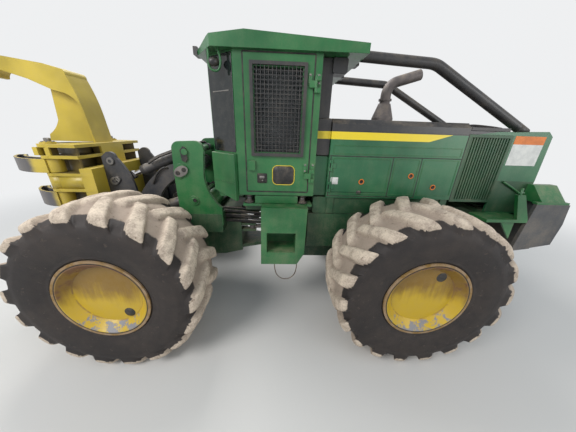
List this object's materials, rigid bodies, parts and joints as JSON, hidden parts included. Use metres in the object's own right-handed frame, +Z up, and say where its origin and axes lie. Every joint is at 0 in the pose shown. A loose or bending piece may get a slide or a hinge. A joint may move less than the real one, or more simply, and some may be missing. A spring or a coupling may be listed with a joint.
{
  "type": "wheeled feller buncher",
  "caption": "Articulated forestry machine on four large lugged tyres: cab and engine hood behind, lift boom in front with an upright disc saw felling head and gathering arms.",
  "frame": {"origin": "on the ground under the articulation pins, in the middle of the machine's length and width", "axes": "-X drives forward, -Y is the machine's left side, +Z is up"},
  "size_m": [6.72, 3.034, 3.219],
  "materials": {
    "green_paint": "worn gloss green enamel",
    "black_paint": "satin black enamel",
    "yellow_paint": "worn yellow enamel",
    "counterweight_grey": "dusty dark grey enamel",
    "engine_grey": "plain block",
    "exhaust_steel": "heat stained dark pipe",
    "tinted_glass": "dark tinted",
    "seat_fabric": "black cloth",
    "black_rubber": "moulded",
    "wire_steel": "rusty wire rope",
    "lamp_black": "lamp housing with a pale lens",
    "rod_chrome": "polished rod",
    "saw_steel": "worn steel",
    "tyre_rubber": "dusty, mud in the tread"
  },
  "bodies": {
    "rear_module": {"rear_frame": "green_paint", "rear_axle": "green_paint", "hood_shell": "green_paint", "hood_cover": "black_paint", "engine_block": "engine_grey", "side_grilles": "green_paint", "rear_cowl": "green_paint", "rear_grille": "green_paint", "rear_bumper": "counterweight_grey", "exhaust_stack": "exhaust_steel", "limb_risers": "black_paint", "cab_shell": "green_paint", "cab_roof": "green_paint", "cab_glass": "tinted_glass", "cab_seat": "seat_fabric", "cab_mounts": "black_rubber", "step_column": "green_paint", "step_loop": "wire_steel", "side_tanks": "green_paint", "work_lamps": "lamp_black", "door_hinges": "green_paint", "side_guard": "black_paint", "pivot_ears": "green_paint", "hinge_frame": "green_paint", "steer_brackets": "green_paint", "cab_platform": "green_paint", "rear_steps": "green_paint"},
    "cab_door": {"cab_door": "green_paint", "door_guard": "black_paint", "door_glass": "tinted_glass"},
    "engine_door_left": {"engine_door_left": "green_paint"},
    "engine_door_right": {"engine_door_right": "green_paint"},
    "front_module": {"front_frame": "green_paint", "tower_plates": "green_paint", "front_axle": "green_paint"},
    "boom": {"boom_arms": "black_paint"},
    "lift_barrels": {"lift_barrels": "black_paint"},
    "lift_rods": {"lift_rods": "rod_chrome"},
    "tilt_barrels": {"tilt_barrels": "black_paint"},
    "tilt_rods": {"tilt_rods": "rod_chrome"},
    "steer_barrel_left": {"steer_barrel_left": "black_paint"},
    "steer_rod_left": {"steer_rod_left": "rod_chrome"},
    "steer_barrel_right": {"steer_barrel_right": "black_paint"},
    "steer_rod_right": {"steer_rod_right": "rod_chrome"},
    "head": {"head_bracket": "black_paint", "head_frame": "yellow_paint", "saw_housing": "yellow_paint"},
    "saw": {"saw_disc": "saw_steel"},
    "harvest_arm_left": {"harvest_arm_left": "yellow_paint"},
    "accumulator_arm_left": {"accumulator_arm_left": "yellow_paint"},
    "accumulator_arm_right": {"accumulator_arm_right": "yellow_paint"},
    "wheel_front_left": {"tyre_front_left": "tyre_rubber", "rim_front_left": "yellow_paint"},
    "wheel_front_right": {"tyre_front_right": "tyre_rubber", "rim_front_right": "yellow_paint"},
    "wheel_rear_left": {"tyre_rear_left": "tyre_rubber", "rim_rear_left": "yellow_paint"},
    "wheel_rear_right": {"tyre_rear_right": "tyre_rubber", "rim_rear_right": "yellow_paint"}
  },
  "joints": [
    {"name": "steer", "type": "hinge", "parent": "rear_module", "child": "front_module", "pos_m": [0, 0, 0.9], "axis": [0, 0, -1], "range_deg": [-40, 40]},
    {"name": "boom_lift", "type": "hinge", "parent": "front_module", "child": "boom", "pos_m": [-1.079, 0, 1.944], "axis": [0, 1, 0], "range_deg": [-2, 35]},
    {"name": "head_tilt", "type": "hinge", "parent": "boom", "child": "head", "pos_m": [-1.79, 0, 1.24], "axis": [0, -1, 0], "range_deg": [-8, 25]},
    {"name": "lift_barrels_swing", "type": "hinge", "parent": "front_module", "child": "lift_barrels", "pos_m": [-0.971, 0, 1.579], "axis": [0, 1, 0], "range_deg": [-3.8, 33.56]},
    {"name": "lift_rods_slide", "type": "slide", "parent": "lift_barrels", "child": "lift_rods", "axis": [-0.9525, 0, -0.3045], "range_m": [-0.0229, 0.2361]},
    {"name": "tilt_barrels_swing", "type": "hinge", "parent": "front_module", "child": "tilt_barrels", "pos_m": [-1.005, 0, 2.158], "axis": [0, 1, 0], "range_deg": [-3.72, 32.12]},
    {"name": "tilt_rods_slide", "type": "slide", "parent": "tilt_barrels", "child": "tilt_rods", "axis": [-0.9239, 0, -0.3825], "range_m": [-0.0904, 0.2611]},
    {"name": "saw_spin", "type": "hinge", "parent": "head", "child": "saw", "pos_m": [-2.55, 0, 0.225], "axis": [0, 0, 1], "continuous": true},
    {"name": "harvest_arm_left_swing", "type": "hinge", "parent": "head", "child": "harvest_arm_left", "pos_m": [-2.508, -0.48, 1.58], "axis": [0, 0, 1], "range_deg": [0, 50]},
    {"name": "accumulator_arm_left_swing", "type": "hinge", "parent": "head", "child": "accumulator_arm_left", "pos_m": [-2.508, -0.48, 1.96], "axis": [0, 0, 1], "range_deg": [0, 50]},
    {"name": "accumulator_arm_right_swing", "type": "hinge", "parent": "head", "child": "accumulator_arm_right", "pos_m": [-2.508, 0.48, 2.12], "axis": [0, 0, -1], "range_deg": [0, 50]},
    {"name": "cab_door_swing", "type": "hinge", "parent": "rear_module", "child": "cab_door", "pos_m": [0.405, -0.762, 2.4], "axis": [0, 0, 1], "range_deg": [0, 95]},
    {"name": "engine_door_left_swing", "type": "hinge", "parent": "rear_module", "child": "engine_door_left", "pos_m": [0.652, -0.692, 1.95], "axis": [0, 0, -1], "range_deg": [0, 80]},
    {"name": "engine_door_right_swing", "type": "hinge", "parent": "rear_module", "child": "engine_door_right", "pos_m": [0.652, 0.692, 1.95], "axis": [0, 0, 1], "range_deg": [0, 80]},
    {"name": "steer_barrel_left_swing", "type": "hinge", "parent": "rear_module", "child": "steer_barrel_left", "pos_m": [0.44, -0.235, 1.12], "axis": [0, 0, -1], "range_deg": [-17.97, 17.97]},
    {"name": "steer_rod_left_slide", "type": "slide", "parent": "steer_barrel_left", "child": "steer_rod_left", "axis": [-1, 0, 0], "range_m": [-0.1715, 0.1715]},
    {"name": "steer_barrel_right_swing", "type": "hinge", "parent": "rear_module", "child": "steer_barrel_right", "pos_m": [0.44, 0.235, 1.12], "axis": [0, 0, -1], "range_deg": [-17.97, 17.97]},
    {"name": "steer_rod_right_slide", "type": "slide", "parent": "steer_barrel_right", "child": "steer_rod_right", "axis": [-1, 0, 0], "range_m": [-0.1715, 0.1715]},
    {"name": "wheel_front_left_roll", "type": "hinge", "parent": "front_module", "child": "wheel_front_left", "pos_m": [-1.545, -1.13, 0.9], "axis": [0, -1, 0], "continuous": true},
    {"name": "wheel_front_right_roll", "type": "hinge", "parent": "front_module", "child": "wheel_front_right", "pos_m": [-1.545, 1.13, 0.9], "axis": [0, -1, 0], "continuous": true},
    {"name": "wheel_rear_left_roll", "type": "hinge", "parent": "rear_module", "child": "wheel_rear_left", "pos_m": [1.545, -1.13, 0.9], "axis": [0, -1, 0], "continuous": true},
    {"name": "wheel_rear_right_roll", "type": "hinge", "parent": "rear_module", "child": "wheel_rear_right", "pos_m": [1.545, 1.13, 0.9], "axis": [0, -1, 0], "continuous": true}
  ],
  "couplings": [
    {"joint": "lift_barrels_swing", "follows": "boom_lift", "ratio": 0.9017},
    {"joint": "lift_rods_slide", "follows": "boom_lift", "m_per_rad": 0.3702},
    {"joint": "tilt_barrels_swing", "follows": "boom_lift", "ratio": 0.8605},
    {"joint": "tilt_rods_slide", "follows": "head_tilt", "m_per_rad": 0.5755},
    {"joint": "steer_barrel_left_swing", "follows": "steer", "ratio": 0.3992},
    {"joint": "steer_rod_left_slide", "follows": "steer", "m_per_rad": 0.2314},
    {"joint": "steer_barrel_right_swing", "follows": "steer", "ratio": 0.3992},
    {"joint": "steer_rod_right_slide", "follows": "steer", "m_per_rad": -0.2314}
  ]
}
